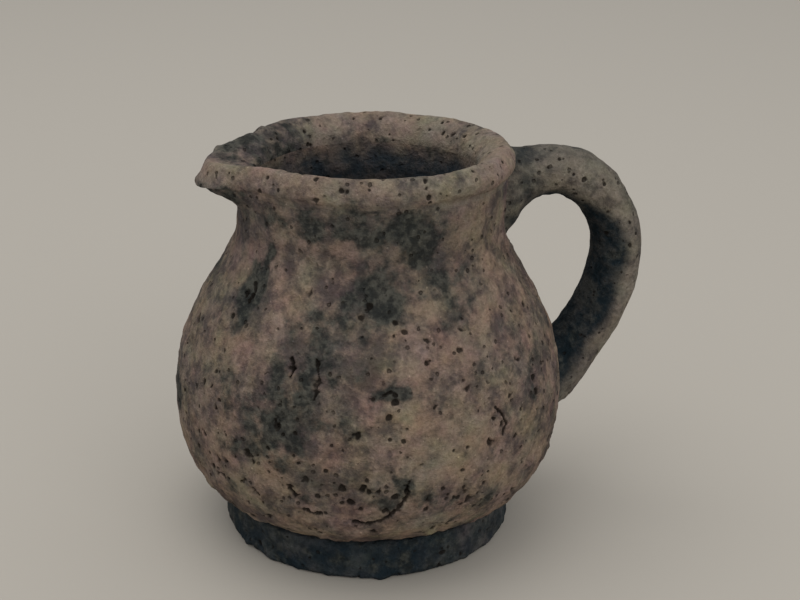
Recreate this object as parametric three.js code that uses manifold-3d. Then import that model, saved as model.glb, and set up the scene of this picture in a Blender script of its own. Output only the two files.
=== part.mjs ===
// A small fired-clay jug, built as the potter builds it: a thrown body, a rolled rim with a
// pulled spout luted onto the neck, a ring luted under the base, and a pulled handle.
// Millimetres, +Z up. The jug's turning axis is Z, the handle points to +X, the spout to -X.

import * as THREE from 'three';
import { mergeVertices } from 'three/addons/utils/BufferGeometryUtils.js';
import Module from 'manifold-3d';

const wasm = await Module();
wasm.setup();

// Overall sizes
const jugHeight = 100;
const lutingGap = 0.3;
const segments = 60;

// Foot ring
const footRadius = 37.2;
const footHeight = 10;
const footWidth = 10;
const footRounding = 1.8;
const footInnerChamfer = 0.9;

// Thrown body
const seatInset = 0.4;
const baseDrop = 1.5;
const floorThickness = 4;
const bellyRadius = 49.3;
const bellyHeight = 37.2;
const underBellyFullness = 16.6;
const baseFlare = 9.3;
const baseFlareRise = 4;
const shoulderFullness = 21.9;
const neckRadius = 33.1;
const neckBelowSeat = 12.4;
const neckLength = 8.7;
const neckFlare = 0.5;
const bellyWall = 5.5;
const neckWall = 7.5;
const innerCornerSpare = 1;
const floorDish = 0.3;

// Rolled rim and its spout
const rimHeight = 6.6;
const rimOverhang = 1.4;
const bandStart = 1;
const bandBulge = 0.2;
const bandTopBelowCrest = 3.8;
const bandTopInset = 1.3;
const crestInset = 2.7;
const crestLead = 2.4;
const throatEase = 3.5;
const spoutReach = 8.3;
const spoutSpread = THREE.MathUtils.degToRad(16);
const spoutTurn = THREE.MathUtils.degToRad(6);
const spoutDrop = 2.5;
const spoutLipDroop = 2;
const spoutRunIn = 7.4;
const spoutFullBelow = 6;
const spoutThroatShare = 0.3;
const pinchDepth = 0.7;
const pinchAngle = THREE.MathUtils.degToRad(31);
const pinchSpread = THREE.MathUtils.degToRad(8);
const mouthLean = 1.2;

// Pulled handle
const handleThickness = 12.2;
const handleSwell = 1.8;
const handleWidth = 15;
const handleCrownRadius = 47.5;
const handleCrownDrop = 9.6;
const handleReach = 67.1;
const handleReachHeight = 68.5;
const handleRootLead = 6;
const handleRootRise = 1.6;
const handleBendShare = 0.51;
const handleFallLead = 16.5;
const handleFootLeadOut = 10.8;
const handleFootLeadUp = 11.6;
const handleRootDrop = 13.2;
const handleFootHeight = 29.6;
const upperFlareAbove = 6;
const upperFlareBelow = 8.6;
const upperFlareLength = 8;
const lowerFlare = 1.3;
const lowerFlareLength = 14;
const handleFootSunk = 3.3;
const flareWidening = 2.5;

// Heights and radii that follow from the sizes above
const seatHeight = jugHeight - rimHeight;
const neckHeight = seatHeight - neckBelowSeat;
const neckTopRadius = neckRadius + neckFlare;
const throatRadius = neckTopRadius - neckWall;
const rimRadius = neckTopRadius + rimOverhang;
const crestRadius = rimRadius - crestInset;
const baseRadius = footRadius - footRounding - seatInset;
const footInnerRadius = footRadius - footWidth;
const floorHeight = footHeight + floorThickness;

// Colours of the fired clay
const buffClay = new THREE.MeshStandardMaterial({ color: 0x7d6a5a, roughness: 0.92, metalness: 0 });
const tanClay = new THREE.MeshStandardMaterial({ color: 0x8a7562, roughness: 0.9, metalness: 0 });
const smokedClay = new THREE.MeshStandardMaterial({ color: 0x34332f, roughness: 0.95, metalness: 0 });
const greyClay = new THREE.MeshStandardMaterial({ color: 0x5d544b, roughness: 0.92, metalness: 0 });

// Solid helpers
function asSolid(geometry) {
  geometry.deleteAttribute('normal');
  geometry.deleteAttribute('uv');
  const merged = mergeVertices(geometry, 1e-4);
  const vertProperties = new Float32Array(merged.attributes.position.array);
  const triVerts = new Uint32Array(merged.index.array);
  const mesh = new wasm.Mesh({ numProp: 3, vertProperties, triVerts });
  mesh.merge();
  return new wasm.Manifold(mesh);
}

function asGeometry(solid) {
  const mesh = solid.getMesh();
  const geometry = new THREE.BufferGeometry();
  geometry.setAttribute('position', new THREE.BufferAttribute(mesh.vertProperties, 3));
  geometry.setIndex(new THREE.BufferAttribute(mesh.triVerts, 1));
  return geometry;
}

function named(name, geometry, material) {
  geometry.computeVertexNormals();
  const mesh = new THREE.Mesh(geometry, material);
  mesh.name = name;
  return mesh;
}

// The wheel: outlines of radius and height, turned about the jug's axis
function turned(outline) {
  const geometry = new THREE.LatheGeometry(outline, segments);
  return geometry.rotateX(Math.PI / 2);
}

function at(radius, height) {
  return new THREE.Vector2(radius, height);
}

// Moves an outline sideways, to its left as it runs, by a distance that may change along it
function offsetOutline(outline, distanceAt) {
  return outline.map((point, i) => {
    const before = outline[Math.max(i - 1, 0)];
    const after = outline[Math.min(i + 1, outline.length - 1)];
    const along = after.clone().sub(before).normalize();
    const distance = distanceAt(point);
    return at(point.x - along.y * distance, point.y + along.x * distance);
  });
}

// What the potter's hands do after throwing: the spout is pulled out, its tip sinks a little
// and its outer lip rolls down, the lip beside it is pinched in, and the mouth leans back
function workedByHand(geometry) {
  const position = geometry.attributes.position;
  const spoutAngle = Math.PI - spoutTurn;
  const bell = (angle, spread) => Math.exp(-0.5 * (angle / spread) ** 2);
  for (let i = 0; i < position.count; i++) {
    const x = position.getX(i);
    const y = position.getY(i);
    const z = position.getZ(i);
    const radius = Math.hypot(x, y);
    const angle = Math.atan2(y, x);
    const turn = Math.atan2(Math.sin(angle - spoutAngle), Math.cos(angle - spoutAngle));
    const pulled = THREE.MathUtils.smoothstep(z, seatHeight - spoutRunIn, jugHeight - spoutFullBelow);
    const sunk = THREE.MathUtils.smoothstep(z, seatHeight, jugHeight);
    const rolled = THREE.MathUtils.smoothstep(z, seatHeight - spoutRunIn, seatHeight)
      * THREE.MathUtils.smoothstep(radius, neckTopRadius, rimRadius);
    const pull = spoutReach * bell(turn, spoutSpread);
    const pinch = pinchDepth * bell(Math.abs(turn) - pinchAngle, pinchSpread);
    const acrossWall = THREE.MathUtils.smoothstep(radius, throatRadius, neckRadius);
    const share = THREE.MathUtils.lerp(spoutThroatShare, 1, acrossWall);
    const reach = radius > 0 ? radius + (pull - pinch) * pulled * share : 0;
    const lean = mouthLean * (z / jugHeight) ** 3;
    const sink = (spoutDrop * sunk + spoutLipDroop * rolled) * bell(turn, spoutSpread);
    position.setXYZ(i, reach * Math.cos(angle) + lean, reach * Math.sin(angle), z - sink);
  }
  return geometry;
}

// Body: outside from the base to the rim's seat, in three sweeps
function bodyOutside() {
  const underBelly = new THREE.CubicBezierCurve(
    at(baseRadius, footHeight),
    at(baseRadius + baseFlare, footHeight + baseFlareRise),
    at(bellyRadius, bellyHeight - underBellyFullness),
    at(bellyRadius, bellyHeight),
  );
  const shoulder = new THREE.CubicBezierCurve(
    at(bellyRadius, bellyHeight),
    at(bellyRadius, bellyHeight + shoulderFullness),
    at(neckRadius, neckHeight - neckLength),
    at(neckRadius, neckHeight),
  );
  const neck = new THREE.QuadraticBezierCurve(
    at(neckRadius, neckHeight),
    at(neckRadius, neckHeight + neckBelowSeat / 2),
    at(neckTopRadius, seatHeight),
  );
  return [
    ...underBelly.getPoints(8),
    ...shoulder.getPoints(13).slice(1),
    ...neck.getPoints(6).slice(1),
  ];
}

function vesselBody() {
  const outside = bodyOutside();
  const wallAt = (point) => THREE.MathUtils.mapLinear(
    THREE.MathUtils.clamp(point.y, bellyHeight, seatHeight),
    bellyHeight, seatHeight, bellyWall, neckWall,
  );
  const inside = offsetOutline(outside, wallAt)
    .filter((point) => point.y > floorHeight + innerCornerSpare)
    .filter((point) => point.y < seatHeight - innerCornerSpare)
    .reverse();
  const floorEdge = inside[inside.length - 1].x - bellyWall / 2;
  const bossRadius = footInnerRadius - lutingGap;
  const outline = [
    at(0, footHeight - baseDrop),
    at(bossRadius - baseDrop, footHeight - baseDrop),
    at(bossRadius, footHeight),
    ...outside,
    at(throatRadius, seatHeight),
    ...inside,
    at(floorEdge, floorHeight + floorDish),
    at(floorEdge - bellyWall, floorHeight),
    at(0, floorHeight),
  ];
  return named('vessel_body', workedByHand(turned(outline)), buffClay);
}

// Rim: a rolled coil on the neck, its inner side sloping down to the throat
function rimOutside() {
  const band = new THREE.CubicBezierCurve(
    at(neckTopRadius, seatHeight),
    at(rimRadius, seatHeight + bandStart),
    at(rimRadius + bandBulge, jugHeight - bandTopBelowCrest),
    at(rimRadius - bandTopInset, jugHeight - bandTopInset),
  );
  return band.getPoints(6);
}

function rimSpout() {
  const band = rimOutside();
  const bandTop = band[band.length - 1];
  const crest = at(crestRadius, jugHeight);
  const lip = new THREE.QuadraticBezierCurve(bandTop, at(bandTop.x - bandStart / 2, jugHeight), crest);
  const throat = at(throatRadius, seatHeight);
  const mouth = new THREE.CubicBezierCurve(
    crest,
    at(crestRadius - crestLead, jugHeight),
    at(throatRadius, seatHeight + throatEase),
    throat,
  );
  const outline = [
    throat,
    ...band,
    ...lip.getPoints(2).slice(1),
    ...mouth.getPoints(6).slice(1),
  ];
  return named('rim_spout', workedByHand(turned(outline)), tanClay);
}

// Foot: a ring of square clay strip with its edges wiped round
function footRing() {
  const corner = (from, over, to) => new THREE.QuadraticBezierCurve(from, over, to).getPoints(3);
  const start = at(footInnerRadius + footInnerChamfer, 0);
  const outline = [
    start,
    ...corner(at(footRadius - footRounding, 0), at(footRadius, 0), at(footRadius, footRounding)),
    ...corner(
      at(footRadius, footHeight - footRounding),
      at(footRadius, footHeight),
      at(footRadius - footRounding, footHeight),
    ),
    at(footInnerRadius, footHeight),
    at(footInnerRadius, footInnerChamfer),
    start,
  ];
  return named('foot_ring', workedByHand(turned(outline)), smokedClay);
}

// Handle: an oval coil pulled along its own line, thicker where it was pressed on
function handleLine() {
  const in3 = (radius, height) => new THREE.Vector3(radius, 0, height);
  const crownHeight = jugHeight - handleCrownDrop;
  const rootRadius = neckRadius - neckWall / 2;
  const rootHeight = jugHeight - handleRootDrop;
  const footEnd = in3(bellyRadius - handleFootSunk, handleFootHeight);
  const line = new THREE.CurvePath();
  line.add(new THREE.CubicBezierCurve3(
    in3(rootRadius, rootHeight),
    in3(rootRadius + handleRootLead, rootHeight + handleRootRise),
    in3(handleCrownRadius - handleRootLead, crownHeight),
    in3(handleCrownRadius, crownHeight),
  ));
  line.add(new THREE.CubicBezierCurve3(
    in3(handleCrownRadius, crownHeight),
    in3(THREE.MathUtils.lerp(handleCrownRadius, handleReach, handleBendShare), crownHeight),
    in3(handleReach, THREE.MathUtils.lerp(handleReachHeight, crownHeight, handleBendShare)),
    in3(handleReach, handleReachHeight),
  ));
  line.add(new THREE.CubicBezierCurve3(
    in3(handleReach, handleReachHeight),
    in3(handleReach, handleReachHeight - handleFallLead),
    in3(footEnd.x + handleFootLeadOut, footEnd.z + handleFootLeadUp),
    footEnd,
  ));
  return line;
}

// Skin over a row of rings, each with as many points, closed by a fan at both ends
function skinned(rings) {
  const points = rings.flat();
  const count = rings[0].length;
  const faces = [];
  for (let i = 0; i + 1 < rings.length; i++) {
    for (let k = 0; k < count; k++) {
      const a = i * count + k;
      const b = i * count + (k + 1) % count;
      faces.push(a, a + count, b, b, a + count, b + count);
    }
  }
  const last = (rings.length - 1) * count;
  for (let k = 1; k + 1 < count; k++) {
    faces.push(0, k, k + 1);
    faces.push(last, last + k + 1, last + k);
  }
  const geometry = new THREE.BufferGeometry().setFromPoints(points);
  geometry.setIndex(faces);
  return geometry;
}

function handleCoil() {
  const stations = 30;
  const sides = 16;
  const line = handleLine();
  const length = line.getLength();
  const flare = (distance, reach) => Math.exp(-((distance / reach) ** 2));
  const rings = [];
  for (let i = 0; i <= stations; i++) {
    const share = i / stations;
    const centre = line.getPointAt(share);
    const along = line.getTangentAt(share);
    const outward = new THREE.Vector3(along.z, 0, -along.x).negate();
    const upper = flare(length * share, upperFlareLength);
    const lower = flare(length * (1 - share), lowerFlareLength);
    const halfThick = (handleThickness + handleSwell * share) / 2 + lowerFlare * lower;
    const halfWide = handleWidth / 2 + flareWidening * (upper + lower);
    const ring = [];
    for (let k = 0; k < sides; k++) {
      const angle = (2 * Math.PI * k) / sides;
      const upperFlare = Math.cos(angle) > 0 ? upperFlareAbove : upperFlareBelow;
      ring.push(centre.clone()
        .addScaledVector(outward, (halfThick + upperFlare * upper) * Math.cos(angle))
        .add(new THREE.Vector3(0, halfWide * Math.sin(angle), 0)));
    }
    rings.push(ring);
  }
  return skinned(rings);
}

function handle() {
  const outside = offsetOutline([...bodyOutside(), ...rimOutside().slice(1)], () => -lutingGap);
  const top = outside[outside.length - 1];
  const clearance = workedByHand(turned([
    at(0, outside[0].y),
    ...outside,
    at(top.x, jugHeight + lutingGap),
    at(0, jugHeight + lutingGap),
  ]));
  const coil = asSolid(handleCoil()).subtract(asSolid(clearance));
  return named('handle', asGeometry(coil), greyClay);
}

// The jug stands on the table with the middle of its outline over the origin
const jug = new THREE.Group();
jug.add(vesselBody(), rimSpout(), footRing(), handle());
const middle = new THREE.Box3().setFromObject(jug).getCenter(new THREE.Vector3());
jug.position.set(-middle.x, -middle.y, 0);
jug.updateMatrixWorld(true);

export default jug;
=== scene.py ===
"""A small fired-clay jug: a thrown body, a rolled rim pulled into a spout, a foot ring and a
pulled handle. It is dressed in Blender 4.5 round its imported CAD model, in metres, +Z up."""

import math
import random

import bmesh
import bpy
from mathutils import Matrix, Vector, geometry, kdtree, noise
from mathutils.bvhtree import BVHTree


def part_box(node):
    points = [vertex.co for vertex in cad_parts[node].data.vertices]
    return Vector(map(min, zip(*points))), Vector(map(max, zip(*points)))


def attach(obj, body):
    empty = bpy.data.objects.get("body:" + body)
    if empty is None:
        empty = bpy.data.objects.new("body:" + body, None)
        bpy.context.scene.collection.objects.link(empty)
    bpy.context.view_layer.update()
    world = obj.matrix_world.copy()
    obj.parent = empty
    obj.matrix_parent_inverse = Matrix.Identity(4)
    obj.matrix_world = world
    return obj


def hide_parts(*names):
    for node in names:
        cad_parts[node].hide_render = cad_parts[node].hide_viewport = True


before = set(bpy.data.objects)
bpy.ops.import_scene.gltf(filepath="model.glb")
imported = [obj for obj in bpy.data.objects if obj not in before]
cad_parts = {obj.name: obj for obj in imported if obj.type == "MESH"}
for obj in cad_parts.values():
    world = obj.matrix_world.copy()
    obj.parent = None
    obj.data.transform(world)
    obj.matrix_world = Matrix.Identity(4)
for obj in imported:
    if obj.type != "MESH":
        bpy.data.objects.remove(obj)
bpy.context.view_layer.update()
mm = 0.001

# Blender's noise vectors are shifted by a seed, which comes from the clock unless it is set here.
noise.seed_set(3)

# The thrown body. It is one wall of coarse brown clay, drawn up on the wheel from a raised base
# to the neck, with the potter's finger rings left inside. The fire has smoked it in blotches,
# though one mark is a painted shadow, one a painted highlight and one its painted shaded side,
# and it is full of the pores that burnt or fell out, their hollows darkened with painted shade.
# It is luted onto the foot ring.
foot_low, foot_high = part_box("foot_ring")
body_low, body_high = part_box("vessel_body")
rim_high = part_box("rim_spout")[1]
axis_x = (foot_low.x + foot_high.x) / 2
jug_height = rim_high.z
seat_height = body_high.z
foot_height = foot_high.z
foot_radius = foot_high.y
belly_radius = body_high.y

cell = 0.9 * mm
around = 320
curve_steps = 240
weld_gap = 0.01 * mm
least_facing = 0.2 * mm
base_radius = foot_radius - 2.2 * mm
base_drop = foot_height - body_low.z
boss_radius = foot_radius - 10.3 * mm
floor_height = foot_height + 4 * mm
belly_height = 37.2 * mm
under_belly = 16.6 * mm
base_flare = 9.3 * mm
base_flare_rise = 4 * mm
shoulder = 21.9 * mm
neck_radius = 33.1 * mm
neck_height = seat_height - 12.4 * mm
neck_length = 8.7 * mm
neck_top_radius = 33.6 * mm
belly_wall = 5.5 * mm
neck_wall = 7.5 * mm
throat_radius = neck_top_radius - neck_wall
rim_radius = neck_top_radius + 1.4 * mm
ring_spacing = 6.3 * mm
ring_depth = 0.3 * mm

spout_reach = 7.4 * mm
spout_spread = math.radians(16)
spout_angle = math.pi - math.radians(6)
spout_drop = 2.5 * mm
spout_lip_droop = 3.1 * mm
spout_start = seat_height - 7.4 * mm
spout_full = jug_height - 7.4 * mm
throat_share = 0.3
pinch_depth = 0.7 * mm
pinch_angle = math.radians(31)
pinch_spread = math.radians(8)
mouth_lean = 1.2 * mm


def at(radius, height):
    """A point of an outline, or of the handle's line, by its radius from the axis and its height."""
    return Vector((radius, 0, height))


def sweep(start, lead, run_in, end, spacing=cell):
    """Points about a spacing apart along a cubic curve, without its first."""
    fine = geometry.interpolate_bezier(start, lead, run_in, end, curve_steps)
    length = sum((b - a).length for a, b in zip(fine, fine[1:]))
    steps = max(1, round(length / spacing))
    points, run = [], 0
    for a, b in zip(fine, fine[1:]):
        run += (b - a).length
        if run >= length * (len(points) + 1) / steps - 1e-9:
            points.append(b.copy())
    return points


def straight(start, end, spacing=cell):
    return sweep(start, start.lerp(end, 1 / 3), start.lerp(end, 2 / 3), end, spacing)


def smooth(value, low, high):
    """0 up to low, 1 from high on, and an easy slope between."""
    share = min(max((value - low) / (high - low), 0), 1)
    return share * share * (3 - 2 * share)


def bell(value, spread):
    """1 at zero, falling off on both sides over the spread."""
    return math.exp(-0.5 * (value / spread) ** 2)


def mound(value, reach):
    """1 at zero, falling off on both sides almost to nothing at twice the reach."""
    return math.exp(-((value / reach) ** 2))


def angle_of(place):
    """The way in which a place lies from the jug's axis, in degrees from the handle's side."""
    return math.degrees(math.atan2(place.y, place.x))


def off_spout(angle):
    """How far a way from the axis, in radians, is turned off the spout."""
    return math.remainder(angle - spout_angle, 2 * math.pi)


def thrown(outline, closed):
    """A shell turned from an outline of radius and height about the jug's own axis."""
    clay = bmesh.new()
    verts = [clay.verts.new(point) for point in outline]
    pairs = list(zip(verts, verts[1:])) + ([(verts[-1], verts[0])] if closed else [])
    edges = [clay.edges.new(pair) for pair in pairs]
    bmesh.ops.spin(
        clay, geom=verts + edges, axis=(0, 0, 1), cent=(0, 0, 0),
        angle=2 * math.pi, steps=around, use_merge=True,
    )
    bmesh.ops.remove_doubles(clay, verts=clay.verts, dist=weld_gap)
    bmesh.ops.recalc_face_normals(clay, faces=clay.faces)
    return clay


def worked_by_hand(clay):
    """Pulls out and droops the spout, pinches the lip beside it and leans the mouth back."""
    for vert in clay.verts:
        radius, angle = math.hypot(vert.co.x, vert.co.y), math.atan2(vert.co.y, vert.co.x)
        height = vert.co.z
        turn = off_spout(angle)
        spout = bell(turn, spout_spread)
        pinch = bell(abs(turn) - pinch_angle, pinch_spread)
        share = throat_share + (1 - throat_share) * smooth(radius, throat_radius, neck_radius)
        pull = (spout_reach * spout - pinch_depth * pinch) * smooth(height, spout_start, spout_full)
        reach = radius + pull * share if radius > 0 else 0
        lean = mouth_lean * (height / jug_height) ** 3
        lip = smooth(height, spout_start, seat_height) * smooth(radius, neck_top_radius, rim_radius)
        sink = spout_drop * smooth(height, seat_height, jug_height) + spout_lip_droop * lip
        vert.co = (reach * math.cos(angle) + lean, reach * math.sin(angle), height - sink * spout)


def wall_of(clay):
    """A wall to measure from, its faces in one fixed order so that every run measures alike."""
    clay.verts.index_update()
    rings = []
    for face in clay.faces:
        ring = [vert.index for vert in face.verts]
        first = ring.index(min(ring))
        rings.append(ring[first:] + ring[:first])
    return BVHTree.FromPolygons([vert.co.copy() for vert in clay.verts], sorted(rings))


def is_outer(vert):
    """True on an outer wall, where the surface faces away from the jug's axis."""
    return vert.normal.x * vert.co.x + vert.normal.y * vert.co.y > least_facing


# The seam of neck and rim, in mm from the neck's top, and its handle's side in degrees.
worked_height = 8
bead_out, bead_above, bead_reach = 0.5, 3.6, 1.8
groove_in, groove_below, groove_reach = 1.0, 0.3, 1.1
fill_out, fill_below, fill_reach = 0.9, 1.6, 1.8
side_begins, side_ends = (-88, -62), (50, 80)


def seam_worked(clay):
    """Presses a groove in under the rim on the handle's side, rolls the bead above it out, and
    fills the corner under the spout."""
    clay.normal_update()
    for vert in clay.verts:
        above = (vert.co.z - seat_height) / mm
        if abs(above) < worked_height and is_outer(vert):
            angle = angle_of(vert.co)
            side = smooth(angle, *side_begins) * (1 - smooth(angle, *side_ends))
            spout = bell(off_spout(math.radians(angle)), spout_spread)
            out = bead_out * side * mound(above - bead_above, bead_reach)
            out -= groove_in * side * mound(above + groove_below, groove_reach)
            out += fill_out * spout * mound(above + fill_below, fill_reach)
            away = Vector((vert.co.x, vert.co.y, 0)).normalized()
            vert.co += away * out * mm


finest_pore = 0.5 * mm
fine_pore_bias = 1.5
pore_depth = 0.7
pore_floor, pore_lip = 0.1, 1.05
pore_raggedness, pore_grain = 0.7, 0.9 * mm
same_side = 0.3
refined_rings, refined_edge = (1.4, 1.15), 0.2 * mm


def pitted(clay, dice, count, chance, widest, spots=()):
    """Cuts pores into the surface, with finer faces round each, and marks them as pits."""
    clay.normal_update()
    clay.verts.ensure_lookup_table()
    pores = list(spots)
    while len(pores) < count:
        vert = dice.choice(clay.verts)
        if dice.random() < chance(vert):
            size = finest_pore + (widest - finest_pore) * dice.random() ** fine_pore_bias
            aside = cell * noise.random_unit_vector() / 2
            pores.append((vert.co + aside, vert.normal.copy(), size))
    tree = kdtree.KDTree(len(pores))
    for i, (place, _, _) in enumerate(pores):
        tree.insert(place, i)
    tree.balance()
    for ring in refined_rings:
        near = []
        for edge in clay.edges:
            middle = (edge.verts[0].co + edge.verts[1].co) / 2
            found = tree.find_n(middle, 3)
            if any(gap < ring * pores[i][2] + refined_edge for _, i, gap in found):
                near.append(edge)
        bmesh.ops.subdivide_edges(clay, edges=near, cuts=1, use_grid_fill=True)
    clay.normal_update()
    pit = clay.verts.layers.float.new("pit")
    for vert in clay.verts:
        ragged = 1 + pore_raggedness * noise.noise(vert.co / pore_grain)
        for place, i, gap in tree.find_n(vert.co, 3):
            _, normal, size = pores[i]
            far = gap * ragged / size
            if far < pore_lip and vert.normal.dot(normal) > same_side:
                cup = 1 - smooth(far, pore_floor, pore_lip)
                vert.co -= normal * cup * size * pore_depth
                # The cup's depth also sets the painted shade that the clay's colour gets in the pore.
                vert[pit] = max(vert[pit], cup)


# The sizes in mm of the wall's slow swell, its lumps and crumbs, and the patches worn coarser.
swell, swell_size = 0.35, 21
lump_size = 5.5
least_crumbs, crumb_size = 0.18, 2.2
coarse_size, coarse_from, coarse_full = 9, -0.1, 0.5
coarse_offset = Vector((7, 3, 1))


def weathered(clay, lumps, crumbs, held=lambda vert: 1):
    """Roughens the wall about the line it was thrown to, as hands, wear and crumbling left it.
    It is held where the piece meets another."""
    clay.normal_update()
    for vert in clay.verts:
        place = vert.co / mm
        coarse = smooth(noise.noise(place / coarse_size + coarse_offset), coarse_from, coarse_full)
        rise = swell * noise.noise(place / swell_size) + lumps * noise.noise(place / lump_size)
        rise += (least_crumbs + crumbs(vert) * coarse) * noise.noise(place / crumb_size)
        vert.co += vert.normal * rise * held(vert) * mm


# The marks were placed one by one. Each is the angle in degrees and the height in mm of its middle,
# how far it spreads round in degrees and up in mm, and its strength.
smoke_and_shadow_marks = (
    (-101, 89, 23, 3.5, 0.8), (-90, 83, 12, 5.0, 0.75), (-99, 72, 6.5, 3.6, 1.3),
    (-76, 78, 8, 5.0, 0.7), (-71, 72, 6, 4.0, 0.5), (-151, 71, 4, 5.0, 1.8),
    (-132, 57, 4, 4.5, 0.8), (-119, 55, 4.5, 6.0, 0.8), (-131, 43.5, 7.5, 6.0, 0.92),
    (-150, 50, 5, 5.0, 0.45), (-97, 53.5, 3.2, 1.6, 1.3), (-70, 56, 9, 7.0, 0.35),
    (-46, 47, 6, 6.0, 0.6), (-97, 27, 5, 4.0, 0.6), (-122, 24, 6, 3.0, 0.45),
    # Painted shade: the mark at -149 degrees, 84 mm up, is the shaded side of a smear ridge on the
    # neck.
    (-172, 86, 5, 4.0, 0.6), (-149, 84, 2.5, 5.0, 0.6), (-128, 86, 5, 3.5, 0.45),
    # Painted shadow: the mark at -174 degrees, 91.5 mm up, lies under the spout's overhang.
    (-72, 24, 9, 3.5, 0.35), (-174, 91.5, 12, 2, 0.7), (-67, 69, 3, 3.0, 0.5),
    (-110, 45, 3, 2.5, 0.4), (-113, 68, 9, 6, 0.6), (-108, 30, 8, 4, 0.4),
)
rubbed_and_highlight_marks = (
    # Painted highlight: the mark at -160 degrees, 82 mm up, is the lit side of a smear ridge on the
    # neck.
    (-77, 62, 10, 8, 1.2), (-82, 38, 13, 8, 1.3), (-160, 82, 5, 7, 1.3), (-60, 88, 14, 4, 0.9),
    (-112, 67, 9, 8, -0.9), (-60, 30, 10, 8, 0.7), (-141, 28, 9, 6, 0.9),
)


drift_size, drift_round, drift_up = 7 * mm, 5, 3.5


def marked(marks, place):
    """How strongly the marks of a list lie at a place, from 0, with ragged outlines."""
    angle = angle_of(place)
    drift = noise.noise_vector(place / drift_size)
    total = 0
    for middle, height, wide, tall, strength in marks:
        aside = (math.remainder(angle - middle, 360) + drift_round * drift.x) / wide
        above = (place.z / mm - height + drift_up * drift.y) / tall
        total += strength * math.exp(-0.5 * (aside * aside + above * above))
    return total


def smoked_and_shaded(clay, shade):
    """Writes how crusted with soot, how hazed by smoke and how rubbed each point is. The same
    amounts also carry painted shade and a painted highlight.
    """
    layers = [clay.verts.layers.float.new(name) for name in ("soot_and_shade", "haze_and_shade", "rubbed_and_highlight")]
    for vert in clay.verts:
        for layer, amount in zip(layers, shade(vert)):
            vert[layer] = amount


sharp_edge = math.radians(60)


def finished(name, clay, material):
    """Sets the clay in its place in the frame as a piece that stands for its CAD node."""
    bmesh.ops.translate(clay, verts=clay.verts, vec=(axis_x, 0, 0))
    for face in clay.faces:
        face.smooth = True
    mesh = bpy.data.meshes.new(name)
    clay.to_mesh(mesh)
    clay.free()
    mesh.set_sharp_from_angle(angle=sharp_edge)
    piece = bpy.data.objects.new(name, mesh)
    bpy.context.scene.collection.objects.link(piece)
    mesh.materials.append(material)
    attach(piece, "root")
    return piece


def added(tree, kind, sockets, **settings):
    """A shader node, its sockets set to a value or joined to another node's."""
    node = tree.nodes.new(kind)
    for name, value in settings.items():
        setattr(node, name, value)
    for name, value in sockets.items():
        if isinstance(value, bpy.types.NodeSocket):
            tree.links.new(value, node.inputs[name])
        else:
            node.inputs[name].default_value = value
    return node


def ranged(tree, value, low, high, to_low=0.0, to_high=1.0):
    """A value's easy slope from one range to another, held at both ends."""
    sockets = {"Value": value, "From Min": low, "From Max": high}
    sockets |= {"To Min": to_low, "To Max": to_high}
    return added(tree, "ShaderNodeMapRange", sockets, interpolation_type="SMOOTHSTEP").outputs[0]


def math_of(tree, operation, first, second):
    return added(tree, "ShaderNodeMath", {0: first, 1: second}, operation=operation).outputs[0]


def times(tree, value, weight):
    return math_of(tree, "MULTIPLY", value, weight)


def plus(tree, first, second):
    return math_of(tree, "ADD", first, second)


def blended(tree, share, under, over, blend_type="MIX"):
    sockets = {0: share, 6: under, 7: over}
    return added(tree, "ShaderNodeMix", sockets, data_type="RGBA", blend_type=blend_type).outputs[2]


def clouds(tree, place, size, detail, roughness, seed, output="Fac"):
    """Cloudy noise with lumps of a size in metres."""
    sockets = {"Vector": place, "W": seed, "Scale": 1 / size}
    sockets |= {"Detail": detail, "Roughness": roughness}
    return added(tree, "ShaderNodeTexNoise", sockets, noise_dimensions="4D").outputs[output]


def speckles(tree, place, size):
    """Scattered cells of a size in metres, each with its own colour."""
    return added(tree, "ShaderNodeTexVoronoi", {"Vector": place, "Scale": 1 / size}).outputs


def attribute(tree, name):
    return added(tree, "ShaderNodeAttribute", {}, attribute_name=name).outputs["Fac"]


def scaled(tree, colour, amount):
    grey = added(tree, "ShaderNodeCombineColor", {0: amount, 1: amount, 2: amount}).outputs[0]
    return blended(tree, 1.0, colour, grey, "MULTIPLY")


mottle_size, fleck_size, dapple_size, grain_size = 8 * mm, 3 * mm, 1.9 * mm, 0.8 * mm
tint_size, lace_size = 7 * mm, 5 * mm
pale_ash, dark_ash = (0.06, 0.0605, 0.0505, 1), (0.0222, 0.0248, 0.0232, 1)
pinhole_size, pinhole_drift_size, pinhole_drift = 1.6 * mm, 1.1 * mm, 0.9 * mm
pinhole_depth = 0.7
pore_shade_colour, pore_shade_strength = (0.0135, 0.0105, 0.0083, 1), 0.85
grit_size, grit_brightness = 2.9 * mm, 2.4
surface_relief = 1.15 * mm
dull_shine = 0.1


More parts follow.
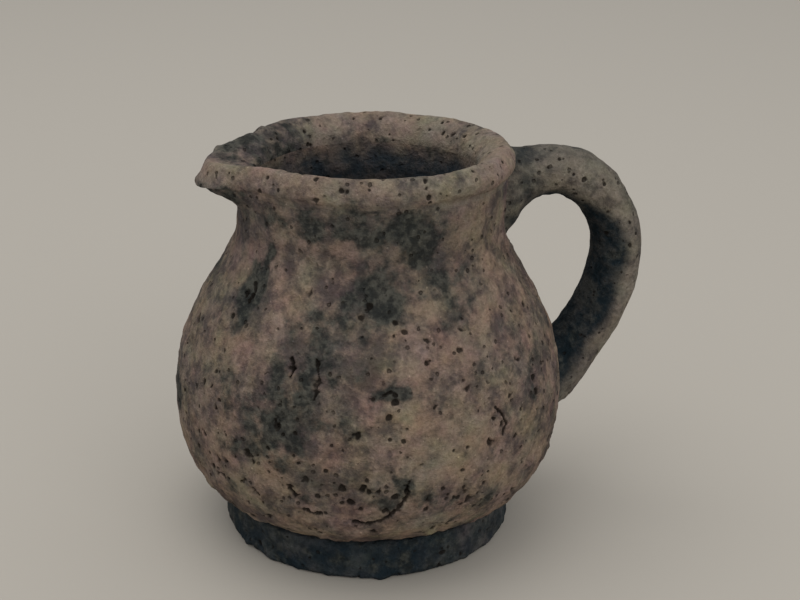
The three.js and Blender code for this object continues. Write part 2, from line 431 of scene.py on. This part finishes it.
def fired_clay(name, pale, dark, smoke_and_shade_colour, tinted=0.24):
    """Unglazed clay: mottled, smoked where the soot attribute says, porous and grainy. Its soot, haze
    and rubbed amounts also lay painted shade and a painted highlight.
    """
    material = bpy.data.materials.new(name)
    material.use_nodes = True
    tree = material.node_tree
    place = added(tree, "ShaderNodeTexCoord", {}).outputs["Object"]
    mottle = clouds(tree, place, mottle_size, 4, 0.62, 1)
    fleck = clouds(tree, place, fleck_size, 4, 0.7, 3)
    dapple = clouds(tree, place, dapple_size, 3, 0.6, 2)
    grain = clouds(tree, place, grain_size, 3, 0.7, 4)

    # The clay's own colour, from dark to pale in blotches, paler where it is rubbed.
    blotch = plus(tree, times(tree, mottle, 0.58), times(tree, fleck, 0.27))
    blotch = plus(tree, blotch, times(tree, dapple, 0.15))
    rubbed_and_highlight = times(tree, attribute(tree, "rubbed_and_highlight"), 0.05)
    tone = ranged(tree, plus(tree, blotch, rubbed_and_highlight), 0.42, 0.59)
    clay = blended(tree, tone, (*dark, 1), (*pale, 1))
    tint = clouds(tree, place, tint_size, 4, 0.6, 6, "Color")
    clay = blended(tree, tinted, clay, tint, "OVERLAY")

    # The smoke's thin film, which also lays painted shade, and its flakes of ash.
    thin = ranged(tree, blotch, 0.4, 0.6, 1.1, 0.85)
    haze_and_shade = math_of(tree, "MULTIPLY", attribute(tree, "haze_and_shade"), thin)
    clay = blended(tree, haze_and_shade, clay, (*smoke_and_shade_colour, 1))
    lace = clouds(tree, place, lace_size, 4, 0.58, 5)
    cover = plus(tree, times(tree, attribute(tree, "soot_and_shade"), 0.3), lace)
    ash = blended(tree, ranged(tree, dapple, 0.4, 0.62), dark_ash, pale_ash)
    clay = blended(tree, ranged(tree, cover, 0.6, 0.82, 0, 0.9), clay, ash)
    clay = scaled(tree, clay, ranged(tree, grain, 0.3, 0.7, 0.84, 1.16))
    clay = scaled(tree, clay, ranged(tree, dapple, 0.35, 0.65, 0.9, 1.1))

    # The pinholes, more of them where the mottle is dark, and the pores cut into the surface, both
    #     darkened towards their bottoms as painted shade in the hollows.
    stray = clouds(tree, place, pinhole_drift_size, 2, 0.5, 8, "Color")
    sockets = {0: stray, "Scale": pinhole_drift}
    shift = added(tree, "ShaderNodeVectorMath", sockets, operation="SCALE").outputs[0]
    nudged = added(tree, "ShaderNodeVectorMath", {0: place, 1: shift}).outputs[0]
    pinholes = speckles(tree, nudged, pinhole_size)
    chance = added(tree, "ShaderNodeSeparateColor", {0: pinholes["Color"]}).outputs[0]
    width = math_of(tree, "SUBTRACT", chance, times(tree, mottle, 0.5))
    width = ranged(tree, width, 0.42, 0.75, 0, 0.38)
    hole = math_of(tree, "SUBTRACT", pinholes["Distance"], width)
    hole = times(tree, ranged(tree, hole, -0.2, 0.02, 1, 0), pinhole_depth)
    pit = ranged(tree, attribute(tree, "pit"), 0.1, 0.65)
    sunk = math_of(tree, "MAXIMUM", hole, pit)
    clay = blended(tree, times(tree, sunk, pore_shade_strength), clay, pore_shade_colour)

    # The pale grit.
    grit = ranged(tree, speckles(tree, place, grit_size)["Distance"], 0.05, 0.1, 0.4, 0)
    clay = blended(tree, grit, clay, scaled(tree, clay, grit_brightness))

    relief = math_of(tree, "SUBTRACT", fleck, hole)
    relief = plus(tree, relief, times(tree, dapple, 0.6))
    relief = plus(tree, relief, times(tree, grain, 0.4))
    sockets = {"Strength": 1.0, "Distance": surface_relief, "Height": relief}
    bump = added(tree, "ShaderNodeBump", sockets).outputs[0]
    shader = tree.nodes["Principled BSDF"]
    tree.links.new(clay, shader.inputs["Base Color"])
    tree.links.new(ranged(tree, fleck, 0.3, 0.7, 0.98, 0.85), shader.inputs["Roughness"])
    tree.links.new(bump, shader.inputs["Normal"])
    shader.inputs["Specular IOR Level"].default_value = dull_shine
    return material


outside = [at(base_radius, foot_height)]
outside += sweep(
    outside[-1], at(base_radius + base_flare, foot_height + base_flare_rise),
    at(belly_radius, belly_height - under_belly), at(belly_radius, belly_height),
)
outside += sweep(
    outside[-1], at(belly_radius, belly_height + shoulder),
    at(neck_radius, neck_height - neck_length), at(neck_radius, neck_height),
)
neck_bend = at(neck_radius, neck_height + (seat_height - neck_height) / 2)
neck_top = at(neck_top_radius, seat_height)
outside += sweep(
    outside[-1], outside[-1].lerp(neck_bend, 2 / 3), neck_top.lerp(neck_bend, 2 / 3), neck_top,
)
coarse_cell, floor_cell = 2 * mm, 2.5 * mm
inside_from, inside_to = floor_height + 2 * mm, seat_height - 1 * mm
inside = []
for before, point, after in zip(outside[::2], outside[1::2], outside[2::2]):
    if inside_from < point.z < inside_to:
        along = (after - before).normalized()
        above_belly = max(0, point.z - belly_height)
        wall = belly_wall + (neck_wall - belly_wall) * above_belly / (seat_height - belly_height)
        wall -= ring_depth * math.sin(2 * math.pi * point.z / ring_spacing)
        inside.append(point + Vector((-along.z, 0, along.x)) * wall)
inside.reverse()
seat_inner = at(neck_top_radius - neck_wall, seat_height)
floor_edge = at(inside[-1].x - belly_wall, floor_height)
body_outline = [
    at(0, body_low.z),
    *straight(at(0, body_low.z), at(boss_radius - base_drop, body_low.z), coarse_cell),
    at(boss_radius, foot_height),
    *straight(at(boss_radius, foot_height), at(base_radius, foot_height), coarse_cell),
    *outside[1:],
    *straight(neck_top, seat_inner, coarse_cell),
    *inside,
    *straight(inside[-1], floor_edge, coarse_cell),
    *straight(floor_edge, at(0, floor_height), floor_cell),
]
body = thrown(body_outline, closed=False)
worked_by_hand(body)
seam_worked(body)
body_surface = wall_of(body)


throat_dark_top, throat_dark_depth, throat_dark_drift = seat_height + 2.5 * mm, 8 * mm, 3 * mm
throat_darkest, throat_browner = 0.95, 0.15
brown_side, brown_spread = 150, 24
small_drift_size = 6 * mm


def throat_smoke_and_shade(place):
    """How smoke and painted shade darken the throat with depth, less on the wall beside the spout."""
    depth = throat_dark_top - place.z + throat_dark_drift * noise.noise(place / small_drift_size)
    browner = bell(math.remainder(angle_of(place) - brown_side, 360), brown_spread)
    return (throat_darkest - throat_browner * browner) * smooth(depth, 0, throat_dark_depth)


# Ways round the jug in degrees: the front, which the photo shows, where the back begins on both
# sides of it, and the left side with how far off it the smoke there fades out.
front, back_begins = -100, (60, 80)
left_side, left_fades = -172, (42, 12)
handle_seat = at(neck_radius, jug_height - 16 * mm)
root_fades, root_drift = (20 * mm, 8 * mm), 4 * mm
neck_smoke_begins = (74 * mm, 84 * mm)
patch_size, worn_size = 17 * mm, 20 * mm
inner_from = floor_height - 1 * mm
inner_soot_and_shade = 0.2


def body_shade(vert):
    """Smoke in marks at the front and in random patches at the back, and rubbed places. Among the
    marks are a painted shadow under the spout and, on the neck, a painted highlight with painted
    shade beside it. A film of smoke lies on the neck, by the handle's root and on the left end."""
    place = vert.co
    # Inside, the wall and floor are darkened by smoke and by painted shade that deepens down the
    # throat.
    if not is_outer(vert) and place.z > inner_from:
        return inner_soot_and_shade, throat_smoke_and_shade(place), 0
    angle = angle_of(place)
    hidden = smooth(abs(math.remainder(angle - front, 360)), *back_begins)
    on_left = smooth(abs(math.remainder(angle - left_side, 360)), *left_fades)
    patches = smooth(noise.fractal(place / patch_size, 1, 2, 3), 0.05, 0.55)
    marks = marked(smoke_and_shadow_marks, place)
    from_root = (place - handle_seat).length + root_drift * noise.noise(place / small_drift_size)
    near_root = smooth(from_root, *root_fades)
    on_neck = smooth(place.z, *neck_smoke_begins)
    worn = smooth(noise.noise(place / worn_size), 0, 0.4)
    soot_and_shade = marks + patches * (0.3 + 0.7 * hidden)
    film = on_neck * 0.16 + 0.3 * marks + 0.3 * hidden * patches
    film += 0.6 * near_root
    film += 0.14 * on_left
    rubbed_and_highlight = marked(rubbed_and_highlight_marks, place) + 0.5 * hidden * worn
    return soot_and_shade, film, rubbed_and_highlight


# Where the wall is full of pores, and the scratches in it. A scratch is its width in mm and the
# places along it, each an angle in degrees and a height in mm.
pocked_marks = (
    (-138, 30, 14, 8, 1.0), (-118, 25, 12, 6, 0.9), (-66, 42, 9, 13, 1.0), (-84, 25, 9, 5, 0.8),
    (-92, 62, 8, 5, 0.5), (-128, 44, 8, 6, 0.5),
)
gouges = (
    (0.9, ((-108, 21.5), (-104, 20.8), (-100, 21.8), (-96, 25), (-93, 29), (-93.5, 32.5))),
    (0.9, ((-122, 24), (-119, 23), (-117, 23.6))),
    (0.5, ((-99.5, 53.6), (-97.5, 54.4), (-95.5, 53.4))),
    (0.75, ((-127.5, 60), (-126, 58), (-127, 56))),
    (0.8, ((-119.5, 60.5), (-118, 56.5), (-119, 51.5))),
    (0.5, ((-152, 72.5), (-150, 71), (-151.5, 68.5))),
    (0.6, ((-66, 47), (-64, 45), (-62.5, 42), (-64, 39.5))),
    (0.9, ((-138, 27), (-136, 25.5))),
    (0.9, ((-126, 29.5), (-123.5, 28.5))),
)


pore_patch_size = 14 * mm
pores_thin_out, crumbs_thin_out = (30 * mm, 75 * mm), (25 * mm, 55 * mm)
pored_from, pored_to = foot_height + 1 * mm, seat_height - 1 * mm
foot_blend, neck_blend = 0.8 * mm, 1.5 * mm
scratch_steps, scratch_unevenness = 8, (0.6, 1.2)


def body_pore_chance(vert):
    """The outer wall has more pores low down, in patches and where it is pocked."""
    if not is_outer(vert) or vert.co.z > pored_to or vert.co.z < pored_from:
        return 0
    patch = smooth(noise.noise(vert.co / pore_patch_size), -0.3, 0.4)
    low = 1 - smooth(vert.co.z, *pores_thin_out)
    chance = (0.05 + 0.6 * low) * (0.25 + 0.75 * patch)
    return chance + 0.7 * min(1, marked(pocked_marks, vert.co))


def scored(clay, dice, lines):
    """The wall's places under some scratched lines, as pores that run into each other."""
    wall = wall_of(clay)
    spots = []
    for width, line in lines:
        for (angle, height), (next_angle, next_height) in zip(line, line[1:]):
            for step in range(scratch_steps):
                share = step / scratch_steps
                turn = math.radians(angle + (next_angle - angle) * share)
                level = (height + (next_height - height) * share) * mm
                away = Vector((math.cos(turn), math.sin(turn), 0))
                outside_place = away * 2 * belly_radius + Vector((0, 0, level))
                place, normal, _, _ = wall.ray_cast(outside_place, -away)
                spots.append((place, normal, dice.uniform(*scratch_unevenness) * width * mm))
    return spots


def body_held(vert):
    """The base keeps its place on the foot, and the neck's inner edge its place at the rim."""
    on_foot = smooth(abs(vert.co.z - foot_height), 0, foot_blend)
    return on_foot if is_outer(vert) else on_foot * smooth(seat_height - vert.co.z, 0, neck_blend)


def body_crumbs(vert):
    """The wall is rougher below its widest."""
    return 0.4 + 0.45 * (1 - smooth(vert.co.z, *crumbs_thin_out))


body_pores, widest_body_pore = 620, 1.45 * mm
body_lumps = 0.38
scratches = scored(body, random.Random(5), gouges)
pitted(body, random.Random(11), body_pores, body_pore_chance, widest_body_pore, scratches)
weathered(body, body_lumps, body_crumbs, body_held)
body.normal_update()
smoked_and_shaded(body, body_shade)
pale_buff, dark_buff = (0.229, 0.169, 0.124), (0.093, 0.072, 0.061)
blue_smoke_and_shade = (0.0245, 0.0313, 0.0374)
buff_clay = fired_clay("buff_clay", pale_buff, dark_buff, blue_smoke_and_shade)
body_piece = finished("thrown_body", body, buff_clay)
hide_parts("vessel_body")

# The rim and spout. A coil of the same clay, rolled round and smeared down over the top of the
# neck, then pulled out between two fingers into a drooping spout. Its crest is rubbed pale and
# nicked, and the throat below it is darkened blue-black by smoke and by painted shade.
crest_radius = rim_radius - 2.7 * mm
smear_drop = 2.2 * mm
smear_edge = at(neck_top_radius - 0.8 * mm, seat_height - smear_drop)
band_foot = at(neck_top_radius + 0.5 * mm, seat_height + 0.3 * mm)
band_top = at(rim_radius - 1.3 * mm, jug_height - 1.3 * mm)
crest = at(crest_radius, jug_height)
fine_cell, rim_cell, throat_cell = 0.6 * mm, 0.7 * mm, 0.8 * mm
rim_outline = [
    seat_inner,
    *straight(seat_inner, at(neck_top_radius - 1.2 * mm, seat_height)),
    smear_edge,
]
rim_outline += sweep(
    rim_outline[-1], at(neck_top_radius + 0.1 * mm, seat_height - smear_drop * 0.7),
    at(neck_top_radius + 0.1 * mm, seat_height - 0.8 * mm), band_foot, fine_cell,
)
rim_outline += sweep(
    rim_outline[-1], at(rim_radius, seat_height + 1 * mm),
    at(rim_radius + 0.2 * mm, jug_height - 3.8 * mm), band_top, rim_cell,
)
rim_outline += sweep(
    band_top, at(band_top.x - 0.4 * mm, jug_height - 0.4 * mm),
    at(crest.x + 0.5 * mm, jug_height), crest, rim_cell,
)
rim_outline += sweep(
    crest, at(crest.x - 2.4 * mm, jug_height),
    at(seat_inner.x, seat_height + 3.5 * mm), seat_inner, throat_cell,
)[:-1]
rim = thrown(rim_outline, closed=True)
worked_by_hand(rim)
seam_worked(rim)
rim_surface = wall_of(rim)


# Ways round the rim in degrees: where the smoked stretch between the spout and the far side
# begins and ends, and the middles of its palest and its dullest side.
left_begins, left_ends = (95, 122), (168, 178)
pale_side, dull_side, side_reach = -35, -105, 30
smeared_to = seat_height + 0.5 * mm
rim_patch_size = 10 * mm
low_smoke_ends = (seat_height - 1 * mm, seat_height + 2 * mm)
rim_inside = crest_radius - 2 * mm
rim_pore_share = 0.6


def rim_pore_chance(vert):
    """The clay smeared down over the neck has no pores."""
    return 0 if vert.co.z < smeared_to else rim_pore_share


def far_left(place):
    """How near a place is to the smoked stretch of rim between the spout and the far side."""
    angle = angle_of(place)
    return smooth(angle, *left_begins) * (1 - smooth(angle, *left_ends))


def rim_shade(vert):
    """Sooty on its far left, paler along the rest, most of all towards the handle. Inside, smoke
    and painted shade darken the throat.
    """
    place = vert.co
    left = far_left(place)
    patches = smooth(noise.fractal(place / rim_patch_size, 1, 2, 3), 0.1, 0.6)
    low = 1 - smooth(place.z, *low_smoke_ends)
    soot_and_shade = 0.62 * left + 0.5 * patches + low * marked(smoke_and_shadow_marks, place)
    film = 0.3 * left + 0.22 * low
    angle = angle_of(place)
    worn = 1.1 + 0.9 * mound(angle - pale_side, side_reach) - 0.6 * mound(angle - dull_side, side_reach)
    if not is_outer(vert):
        film = max(film, throat_smoke_and_shade(place))
    return soot_and_shade, film, worn * (1 - left)


def rim_crumbs(vert):
    """The far left rim is the most worn."""
    return 0.2 + 0.6 * far_left(vert.co)


def rim_held(vert):
    """The rim's inner edge keeps its place on the neck."""
    inner = math.hypot(vert.co.x, vert.co.y) < rim_inside
    return smooth(vert.co.z - seat_height, 0, neck_blend) if inner else 1


rim_pores, widest_rim_pore = 110, 1.0 * mm
rim_lumps = 0.2
pitted(rim, random.Random(23), rim_pores, rim_pore_chance, widest_rim_pore)
weathered(rim, rim_lumps, rim_crumbs, rim_held)
rim.normal_update()
smoked_and_shaded(rim, rim_shade)
pale_tan, dark_tan = (0.214, 0.167, 0.126), (0.084, 0.067, 0.061)
tan_clay = fired_clay("tan_clay", pale_tan, dark_tan, blue_smoke_and_shade)
rim_piece = finished("rolled_rim_and_spout", rim, tan_clay)
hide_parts("rim_spout")

# The foot. A strip of clay bent into a ring, its edges wiped round, luted under the base. It
# stood in the ashes, so it is smoked nearly black, and its edge is worn knobbly.
foot_inner = foot_radius - 10 * mm
foot_rounding = 1.8 * mm
foot_chamfer = 0.9 * mm
foot_side_cell, recess_cell = 0.8 * mm, 1.5 * mm
foot_outline = [at(foot_inner + foot_chamfer, 0)]
foot_outline += straight(foot_outline[-1], at(foot_radius - foot_rounding, 0))
foot_outline += sweep(
    foot_outline[-1], at(foot_radius - foot_rounding / 3, 0),
    at(foot_radius, foot_rounding / 3), at(foot_radius, foot_rounding), fine_cell,
)
foot_outline += straight(foot_outline[-1], at(foot_radius, foot_height - foot_rounding), foot_side_cell)
foot_outline += sweep(
    foot_outline[-1], at(foot_radius, foot_height - foot_rounding / 3),
    at(foot_radius - foot_rounding / 3, foot_height),
    at(foot_radius - foot_rounding, foot_height), fine_cell,
)
foot_outline += straight(foot_outline[-1], at(foot_inner, foot_height), coarse_cell)
foot_outline += straight(foot_outline[-1], at(foot_inner, foot_chamfer), recess_cell)
foot = thrown(foot_outline, closed=True)
worked_by_hand(foot)


# The foot's greyer side and the side where its smoke is thinner, as ways round in degrees.
grey_side, grey_spread = -55, 16
thin_side, thin_spread = -150, 20
foot_pore_share, foot_pores_to = 0.8, foot_height - 1 * mm
standing_blend = 0.6 * mm


def foot_pore_chance(vert):
    """Only the foot's outer edge has pores."""
    return foot_pore_share if is_outer(vert) and vert.co.z < foot_pores_to else 0


def foot_shade(vert):
    """Black all round but for a greyer stretch on the right and thinner smoke on the left."""
    angle = angle_of(vert.co)
    greyer = bell(math.remainder(angle - grey_side, 360), grey_spread)
    paler = bell(math.remainder(angle - thin_side, 360), thin_spread)
    ragged = 0.3 * noise.noise(vert.co / small_drift_size)
    film = min(1, 0.88 - 0.5 * greyer - 0.15 * paler + ragged)
    return 0.45 - 0.3 * greyer + ragged, film, 0.2 * greyer


def foot_held(vert):
    """The foot keeps its place under the base, and stands flat."""
    return smooth(foot_height - vert.co.z, 0, foot_blend) * smooth(vert.co.z, 0, standing_blend)


foot_pores, widest_foot_pore = 70, 1.1 * mm
foot_lumps = 0.35
pitted(foot, random.Random(37), foot_pores, foot_pore_chance, widest_foot_pore)
weathered(foot, foot_lumps, lambda vert: 1.0, foot_held)
foot.normal_update()
smoked_and_shaded(foot, foot_shade)
pale_soot, dark_soot = (0.104, 0.1, 0.09), (0.035, 0.0375, 0.0385)
black_smoke = (0.0115, 0.0196, 0.0261)
smoked_clay = fired_clay("smoked_clay", pale_soot, dark_soot, black_smoke)
foot_piece = finished("foot_ring_of_clay", foot, smoked_clay)
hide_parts("foot_ring")

# The handle. A coil pulled long and oval with wet hands, which left streaks along it, pressed
# onto the rim above and the belly below and smeared out flat at both roots.
handle_thickness = 12.2 * mm
handle_swell = 1.8 * mm
handle_width = 15 * mm
crown = at(47.5 * mm, jug_height - 9.6 * mm)
reach = at(67.1 * mm, 68.5 * mm)
upper_root = at(neck_radius - neck_wall / 2, jug_height - 13.2 * mm)
lower_root = at(belly_radius - 3.3 * mm, 29.6 * mm)
bend_share = 0.51
flare_above, flare_below, upper_flare_length = 6 * mm, 8.6 * mm, 8 * mm
lower_flare, lower_flare_length = 1.3 * mm, 14 * mm
flare_widening = 2.5 * mm
smear_width = 1.3 * mm
smear_reach = 3 * mm
buried_depth = 1.4 * mm
handle_cell = 0.65 * mm
handle_sides = 54
root_depth = 31.6 * mm
upper_feather_end = 0.12
feather_start = 0.92
feather_height, feather_sink, feather_blend = 9 * mm, 0.6 * mm, 3 * mm
root_smoke_ends = (37 * mm, 48 * mm)
flank_drift_size, root_drift_size = 8 * mm, 4 * mm

rise_from_rim = at(6 * mm, 1.6 * mm)
run_to_crown = at(6 * mm, 0)
drop_from_reach = at(0, 16.5 * mm)
run_to_belly = at(10.8 * mm, 11.6 * mm)

handle_line = [upper_root]
handle_line += sweep(
    upper_root, upper_root + rise_from_rim, crown - run_to_crown, crown, handle_cell,
)
handle_line += sweep(
    crown, at(crown.x + (reach.x - crown.x) * bend_share, crown.z),
    at(reach.x, reach.z + (crown.z - reach.z) * bend_share), reach, handle_cell,
)
handle_line += sweep(
    reach, reach - drop_from_reach, lower_root + run_to_belly, lower_root, handle_cell,
)
coil = bmesh.new()
rings = []
stations = len(handle_line)
for i, centre in enumerate(handle_line):
    along = (handle_line[min(i + 1, stations - 1)] - handle_line[max(i - 1, 0)]).normalized()
    outward = Vector((-along.z, 0, along.x))
    share = i / (stations - 1)
    upper = mound(i * handle_cell, upper_flare_length)
    lower = mound((stations - 1 - i) * handle_cell, lower_flare_length)
    half_thick = (handle_thickness + handle_swell * share) / 2 + lower_flare * lower
    half_thick += (flare_above + flare_below) / 2 * upper
    half_wide = handle_width / 2 + flare_widening * (upper + lower)
    middle = centre + outward * (flare_above - flare_below) / 2 * upper
    turn = Matrix((outward * half_thick, Vector((0, half_wide, 0)), along)).transposed().to_4x4()
    ring = bmesh.ops.create_circle(
        coil, radius=1, segments=handle_sides, cap_ends=i in (0, stations - 1),
        matrix=Matrix.Translation(middle) @ turn,
    )["verts"]
    rings.append(ring)
for ring, after in zip(rings, rings[1:]):
    edges = list(dict.fromkeys(e for v in ring + after for e in v.link_edges))
    edges = [e for e in edges if all(v in ring for v in e.verts) or all(v in after for v in e.verts)]
    bmesh.ops.bridge_loops(coil, edges=edges)
bmesh.ops.recalc_face_normals(coil, faces=coil.faces)
if coil.calc_volume(signed=True) < 0:
    bmesh.ops.reverse_faces(coil, faces=coil.faces)
cut = bmesh.ops.bisect_plane(
    coil, geom=coil.verts[:] + coil.edges[:] + coil.faces[:], plane_co=(root_depth, 0, 0),
    plane_no=(1, 0, 0), clear_inner=True,
)["geom_cut"]
bmesh.ops.holes_fill(coil, edges=[e for e in cut if isinstance(e, bmesh.types.BMEdge)])
# The cut leaves its points in no fixed order, and the pores are drawn by it, so they are sorted.
sorting_way = Vector((1, 0.618, 0.273))
coil.verts.sort(key=lambda vert: vert.co.dot(sorting_way))
loop_middle = at(42 * mm, 62 * mm)


def along_handle(place):
    """How far along the handle a place is, from 0 to 1, the way out to it, and the line there."""
    i = min(range(stations), key=lambda n: (handle_line[n] - place).length_squared)
    return i / (stations - 1), (place - handle_line[i]).normalized(), handle_line[i]


def smeared_on(clay, surfaces):
    """Spreads the coil's clay where it meets the wall, as a thumb smears it down."""
    clay.normal_update()
    for vert in clay.verts:
        spread, buried = 0, False
        for surface in surfaces:
            place, normal, _, far = surface.find_nearest(vert.co)
            if far < 2 * smear_reach and (vert.co - place).dot(normal) < 0:
                buried = buried or far > buried_depth
                far = 0
            spread = max(spread, (1 - min(far / smear_reach, 1)) ** 2)
        if not buried and along_handle(vert.co)[0] > upper_feather_end:
            vert.co += vert.normal * smear_width * spread


def feathered(clay, surface):
    """Thins the coil's ends down onto the wall, so that they end in the clay and not in a step."""
    for vert in clay.verts:
        share = along_handle(vert.co)[0]
        place, normal, _, _ = surface.find_nearest(vert.co)
        proud = (vert.co - place).dot(normal)
        if share > feather_start:
            most = feather_height * (1 - smooth(share, feather_start, 1)) - feather_sink
            vert.co -= normal * max(0, proud - most)
        elif share < upper_feather_end and proud > 0:
            vert.co -= normal * proud * (1 - smooth(proud, 0, feather_blend))


def handle_shade(vert):
    """Dark where it faces the belly and on its flanks: partly the smoke the fire held there, partly
    painted shade from the belly beside it.
    """
    share, way, centre = along_handle(vert.co)
    inward = (loop_middle - centre).normalized().dot(way)
    brown_top = 0.6 * (1 - smooth(share, 0.28, 0.5))
    drift = 0.16 * noise.noise(vert.co / flank_drift_size)
    inner = smooth(inward - brown_top + drift, -0.25, 0.3)
    root = 1 - smooth(vert.co.x, *root_smoke_ends)
    inner = max(inner, root * (0.55 + 0.5 * noise.noise(vert.co / root_drift_size)))
    outer = 1 - inner
    streak_place = (share * 9, 5 * way.x + 5 * way.z, 5 * way.y)
    streak = smooth(noise.noise(Vector(streak_place)), 0, 0.5)
    past_rim, at_belly = smooth(share, 0.05, 0.15), smooth(share, 0.94, 1)
    on_top, low_down = smooth(way.z, 0.2, 0.9), smooth(share, 0.7, 0.92)
    # The inner mask lays the held smoke and painted shade together.
    film = 0.97 * inner * (1 - 0.15 * at_belly) * (0.72 + 0.28 * past_rim)
    film += 0.42 * outer * on_top
    film += outer * (0.1 * streak + 0.3 * low_down)
    return 0.2 * inner + 0.15 * streak, film, 1.2 * outer * (1 - 0.7 * streak)


feathered(coil, body_surface)
smeared_on(coil, (body_surface, rim_surface))
handle_pores, widest_handle_pore, pore_chance = 80, 0.9 * mm, 0.8
handle_lumps, handle_crumbs = 0.25, 0.3
pitted(coil, random.Random(53), handle_pores, lambda vert: pore_chance, widest_handle_pore)
weathered(coil, handle_lumps, lambda vert: handle_crumbs)
coil.normal_update()
smoked_and_shaded(coil, handle_shade)
pale_grey, dark_grey = (0.194, 0.165, 0.128), (0.083, 0.072, 0.062)
# The handle's smoke colour, which on its inner side also stands for painted shade.
deep_smoke_and_shade = (0.0093, 0.016, 0.0206)
grey_tint = 0.12
grey_clay = fired_clay("grey_clay", pale_grey, dark_grey, deep_smoke_and_shade, grey_tint)
handle_piece = finished("pulled_handle", coil, grey_clay)
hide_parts("handle")

# The table, the lamps and the camera. A sheet of pale grey-buff paper lies under the jug and
# runs out of sight. A broad lamp hangs over it, a little to the left, and a weaker one in front
# fills its shadows.
paper_size = 3.0
paper_colour, paper_roughness = (0.455, 0.418, 0.362, 1), 0.95
paper = bpy.data.meshes.new("paper")
sheet = bmesh.new()
bmesh.ops.create_grid(sheet, x_segments=1, y_segments=1, size=paper_size)
sheet.to_mesh(paper)
sheet.free()
floor = bpy.data.objects.new("paper", paper)
bpy.context.scene.collection.objects.link(floor)
paper_finish = bpy.data.materials.new("pale_paper")
paper_finish.use_nodes = True
paper_shader = paper_finish.node_tree.nodes["Principled BSDF"]
paper_shader.inputs["Base Color"].default_value = paper_colour
paper_shader.inputs["Roughness"].default_value = paper_roughness
paper_shader.inputs["Specular IOR Level"].default_value = dull_shine
paper.materials.append(paper_finish)


def lamp(name, place, aim, size, watts):
    """A round lamp, its size in metres, turned towards what it aims at."""
    light = bpy.data.lights.new(name, "AREA")
    light.shape = "DISK"
    light.size = size
    light.energy = watts
    holder = bpy.data.objects.new(name, light)
    holder.location = place
    holder.rotation_euler = (Vector(aim) - Vector(place)).to_track_quat("-Z", "Y").to_euler()
    bpy.context.scene.collection.objects.link(holder)


jug_middle = (axis_x, 0, jug_height / 2)
overhead_place, overhead_size, overhead_watts = (-0.3, 0.05, 1.15), 1.2, 3.9
front_place, front_size, front_watts = (0.2, -0.9, 0.5), 0.8, 1.8
lamp("overhead", overhead_place, jug_middle, overhead_size, overhead_watts)
lamp("front_fill", front_place, jug_middle, front_size, front_watts)

world = bpy.data.worlds.new("studio")
bpy.context.scene.world = world
world.use_nodes = True
sky = world.node_tree
backdrop_colour = (0.405, 0.374, 0.327, 1)
fill_colour, fill_strength = (0.95, 0.97, 1.0, 1), 0.76
backdrop = added(sky, "ShaderNodeBackground", {"Color": backdrop_colour, "Strength": 1.0})
fill = added(sky, "ShaderNodeBackground", {"Color": fill_colour, "Strength": fill_strength})
ray = added(sky, "ShaderNodeLightPath", {})
mirrored = math_of(sky, "MAXIMUM", ray.outputs["Is Glossy Ray"], ray.outputs["Is Transmission Ray"])
seen = math_of(sky, "MAXIMUM", ray.outputs["Is Camera Ray"], mirrored)
shown = added(sky, "ShaderNodeMixShader", {0: seen, 1: fill.outputs[0], 2: backdrop.outputs[0]})
sky.links.new(shown.outputs[0], sky.nodes["World Output"].inputs["Surface"])

# The camera fits the ellipses of the rim and foot in the photo. Its angles are in degrees.
camera_place = (axis_x - 80.2 * mm, -321.7 * mm, 185.7 * mm)
camera_dip, camera_turn = 20.91, -14
camera_lens, camera_shift = 62.78, 0.0406
camera = bpy.data.cameras.new("camera")
camera.lens = camera_lens
camera.shift_x = camera_shift
camera.clip_start = 10 * mm
eye = bpy.data.objects.new("camera", camera)
eye.location = camera_place
eye.rotation_euler = (math.radians(90 - camera_dip), 0, math.radians(camera_turn))
bpy.context.scene.collection.objects.link(eye)
bpy.context.scene.camera = eye
bpy.context.scene.view_settings.view_transform = "Standard"
